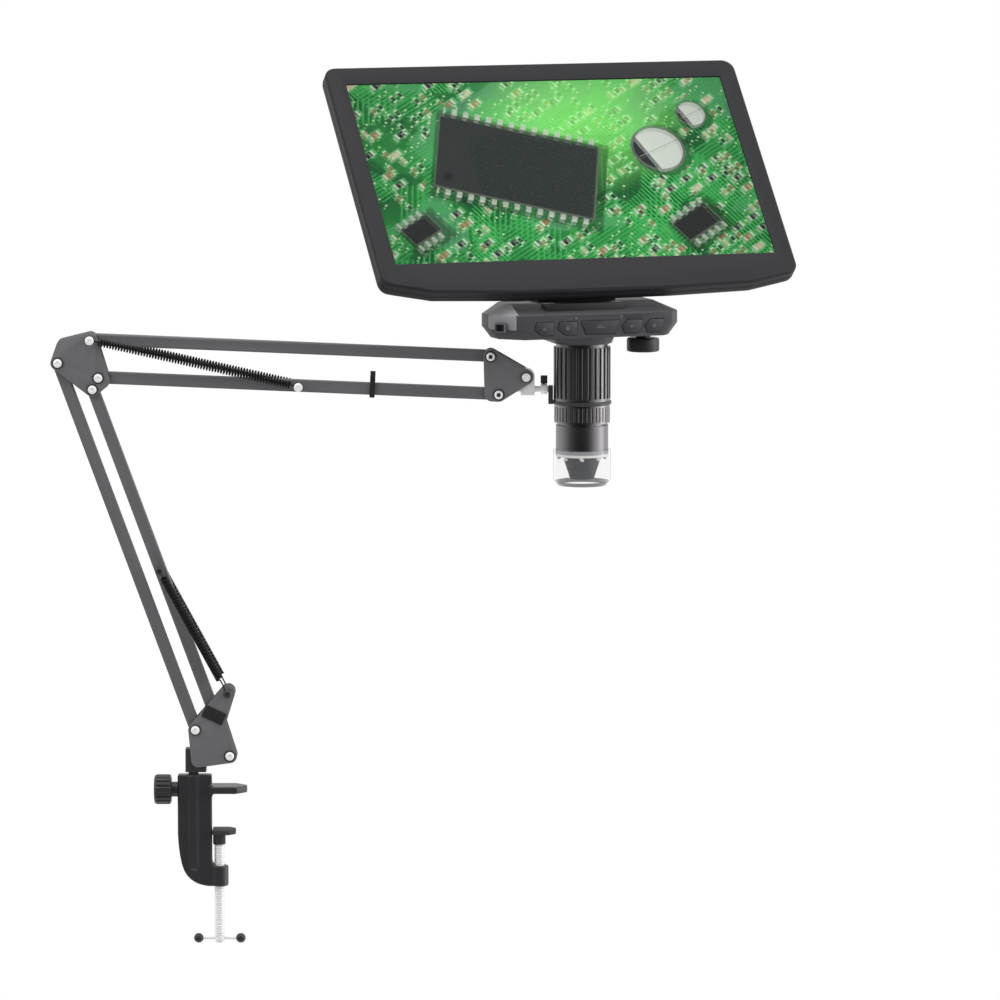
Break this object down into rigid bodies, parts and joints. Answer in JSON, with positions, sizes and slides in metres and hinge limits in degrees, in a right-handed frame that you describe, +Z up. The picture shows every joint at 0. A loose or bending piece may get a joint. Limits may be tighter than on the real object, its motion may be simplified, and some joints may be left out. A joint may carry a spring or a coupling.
{
  "type": "lcd digital microscope",
  "caption": "Digital microscope with a tilting LCD screen, button console and lit lens barrel, held by a sprung scissor arm with a table clamp.",
  "frame": {"origin": "on the underside of the upper clamp jaw, at the middle of the face that rests on a table top", "axes": "+X from the clamp towards the microscope, +Z up, -Y towards the person who looks at the screen"},
  "size_m": [0.4117, 0.1806, 0.4843],
  "materials": {
    "cast_black": "satin black paint on a casting",
    "pad_black": "matt",
    "bright_steel": "polished",
    "knob_black": "satin moulded",
    "dark_steel": "satin black",
    "plate_grey": "satin grey paint",
    "bolt_steel": "bright zinc",
    "band_black": "matt",
    "bar_grey": "satin grey paint",
    "spring_black": "black coated wire",
    "barrel_grey": "dark anodised, satin",
    "circuit_green": "solder mask",
    "inner_black": "matt",
    "lens_glass": "coated",
    "focus_black": "black anodised",
    "lamp_white": "gloss",
    "hood_clear": "clear acrylic",
    "console_grey": "fine textured",
    "socket_metal": "plated",
    "hinge_grey": "satin",
    "bezel_charcoal": "satin",
    "panel_picture": "lit picture",
    "screen_glass": "clear",
    "button_grey": "satin"
  },
  "bodies": {
    "clamp": {"clamp_body": "cast_black"},
    "pad": {"pressure_pad": "pad_black"},
    "screw": {"clamp_screw": "bright_steel"},
    "cross_bar": {"cross_bar": "bright_steel", "cross_bar_balls": "knob_black"},
    "lock_knob": {"lock_knob": "knob_black"},
    "base": {"swivel_shaft": "dark_steel", "base_plate_front": "plate_grey", "base_plate_rear": "plate_grey", "base_bolts": "bolt_steel", "ear_bands": "band_black", "lower_spring_front": "spring_black", "lower_spring_rear": "spring_black"},
    "lower_left": {"lower_bar_left": "bar_grey"},
    "lower_right": {"lower_bar_right": "bar_grey", "lower_spring_pin": "dark_steel"},
    "elbow": {"elbow_plate_front": "plate_grey", "elbow_plate_rear": "plate_grey", "elbow_bolts": "bolt_steel", "upper_spring_front": "spring_black", "upper_spring_rear": "spring_black"},
    "upper_top": {"upper_bar_top": "bar_grey"},
    "upper_bottom": {"upper_bar_bottom": "bar_grey", "upper_spring_pin": "bolt_steel", "cable_clip": "band_black"},
    "arm_end": {"end_plate_front": "plate_grey", "end_plate_rear": "plate_grey", "end_bolts": "bolt_steel", "tip_bolt": "bolt_steel"},
    "tilt_block": {"tilt_block": "dark_steel"},
    "holder": {"holder_rod": "bright_steel", "holder_ring": "dark_steel"},
    "thumb_screw": {"thumb_screw": "knob_black"},
    "scope": {"upper_barrel": "barrel_grey", "camera_board": "circuit_green", "lower_barrel": "barrel_grey", "light_board": "lamp_white", "lens_nose": "inner_black", "light_hood": "hood_clear", "console_front_shell": "console_grey", "console_rear_shell": "console_grey", "control_board": "circuit_green", "side_socket": "socket_metal", "status_lights": "lamp_white", "hinge_base": "hinge_grey", "hinge_pin": "bright_steel"},
    "lens": {"lens_carriage": "inner_black", "objective_lens": "lens_glass"},
    "focus_ring": {"focus_ring": "focus_black"},
    "dial": {"brightness_dial": "knob_black"},
    "display": {"display_bezel": "bezel_charcoal", "display_back": "bezel_charcoal", "lcd_panel": "panel_picture", "cover_glass": "screen_glass", "display_board": "circuit_green"},
    "button_1": {"button_1": "button_grey"},
    "button_2": {"button_2": "button_grey"},
    "button_3": {"button_3": "button_grey"},
    "button_4": {"button_4": "button_grey"},
    "button_5": {"button_5": "button_grey"}
  },
  "joints": [
    {"name": "pad_travel", "type": "slide", "parent": "clamp", "child": "pad", "axis": [0, 0, 1], "range_m": [-0.009, 0.016]},
    {"name": "screw_turn", "type": "hinge", "parent": "pad", "child": "screw", "pos_m": [-0.0063, 0, -0.0822], "axis": [0, 0, 1], "range_deg": [-1630, 2890]},
    {"name": "cross_bar_slide", "type": "slide", "parent": "screw", "child": "cross_bar", "axis": [1, 0, 0], "range_m": [-0.006, 0.006]},
    {"name": "lock_knob_turn", "type": "hinge", "parent": "clamp", "child": "lock_knob", "pos_m": [-0.0293, 0, 0.0016], "axis": [-1, 0, 0], "range_deg": [0, 720]},
    {"name": "base_swivel", "type": "hinge", "parent": "clamp", "child": "base", "pos_m": [-0.0204, 0, 0], "axis": [0, 0, 1], "continuous": true},
    {"name": "lower_arm", "type": "hinge", "parent": "base", "child": "lower_left", "pos_m": [-0.0191, 0, 0.0356], "axis": [0, -1, 0], "range_deg": [-60, 15]},
    {"name": "lower_link", "type": "hinge", "parent": "base", "child": "lower_right", "pos_m": [-0.0001, 0, 0.021], "axis": [0, -1, 0], "range_deg": [-63, 18], "deforming": ["lower_spring_front", "lower_spring_rear"]},
    {"name": "elbow_level", "type": "hinge", "parent": "lower_left", "child": "elbow", "pos_m": [-0.09385, 0, 0.23985], "axis": [0, -1, 0], "range_deg": [-18, 63]},
    {"name": "upper_arm", "type": "hinge", "parent": "elbow", "child": "upper_top", "pos_m": [-0.07595, 0, 0.25275], "axis": [0, -1, 0], "range_deg": [-36, 60]},
    {"name": "upper_link", "type": "hinge", "parent": "elbow", "child": "upper_bottom", "pos_m": [-0.07155, 0, 0.23165], "axis": [0, -1, 0], "range_deg": [-42, 66], "deforming": ["upper_spring_front", "upper_spring_rear"]},
    {"name": "end_level", "type": "hinge", "parent": "upper_top", "child": "arm_end", "pos_m": [0.14456, 0, 0.24351], "axis": [0, -1, 0], "range_deg": [-66, 42]},
    {"name": "head_tilt", "type": "hinge", "parent": "arm_end", "child": "tilt_block", "pos_m": [0.16416, 0, 0.23211], "axis": [0, -1, 0], "range_deg": [-75, 25]},
    {"name": "rod_roll", "type": "hinge", "parent": "tilt_block", "child": "holder", "pos_m": [0.16416, 0, 0.22511], "axis": [1, 0, 0], "range_deg": [-90, 90]},
    {"name": "thumb_turn", "type": "hinge", "parent": "holder", "child": "thumb_screw", "pos_m": [0.17396, 0, 0.22511], "axis": [0, 0, 1], "range_deg": [0, 360]},
    {"name": "scope_turn", "type": "hinge", "parent": "holder", "child": "scope", "pos_m": [0.19496, 0, 0.21696], "axis": [0, 0, 1], "range_deg": [-170, 170]},
    {"name": "focus_turn", "type": "hinge", "parent": "scope", "child": "focus_ring", "pos_m": [0.19496, 0, 0.20681], "axis": [0, 0, 1], "range_deg": [-110, 110]},
    {"name": "lens_travel", "type": "slide", "parent": "scope", "child": "lens", "axis": [0, 0, 1], "range_m": [-0.00269, 0.00269]},
    {"name": "display_tilt", "type": "hinge", "parent": "scope", "child": "display", "pos_m": [0.19428, 0.00188, 0.28121], "axis": [-0.9397, -0.342, 0], "range_deg": [-4, 60]},
    {"name": "dial_turn", "type": "hinge", "parent": "scope", "child": "dial", "pos_m": [0.22865, 0.00801, 0.24791], "axis": [0, 0, 1], "range_deg": [-140, 140]},
    {"name": "button_1_press", "type": "slide", "parent": "scope", "child": "button_1", "axis": [-0.342, 0.9397, 0], "range_m": [0, 0.0008], "stiffness_N_per_m": 600, "springref_m": -0.0004},
    {"name": "button_2_press", "type": "slide", "parent": "scope", "child": "button_2", "axis": [-0.342, 0.9397, 0], "range_m": [0, 0.0008], "stiffness_N_per_m": 600, "springref_m": -0.0004},
    {"name": "button_3_press", "type": "slide", "parent": "scope", "child": "button_3", "axis": [-0.342, 0.9397, 0], "range_m": [0, 0.0008], "stiffness_N_per_m": 600, "springref_m": -0.0004},
    {"name": "button_4_press", "type": "slide", "parent": "scope", "child": "button_4", "axis": [-0.342, 0.9397, 0], "range_m": [0, 0.0008], "stiffness_N_per_m": 600, "springref_m": -0.0004},
    {"name": "button_5_press", "type": "slide", "parent": "scope", "child": "button_5", "axis": [-0.342, 0.9397, 0], "range_m": [0, 0.0008], "stiffness_N_per_m": 600, "springref_m": -0.0004}
  ],
  "couplings": [
    {"joint": "screw_turn", "follows": "pad_travel", "rad_per_m": 3141.6},
    {"joint": "lower_link", "follows": "lower_arm", "ratio": 1},
    {"joint": "elbow_level", "follows": "lower_arm", "ratio": -1},
    {"joint": "upper_link", "follows": "upper_arm", "ratio": 1},
    {"joint": "end_level", "follows": "upper_arm", "ratio": -1},
    {"joint": "focus_turn", "follows": "lens_travel", "rad_per_m": 714.29}
  ]
}
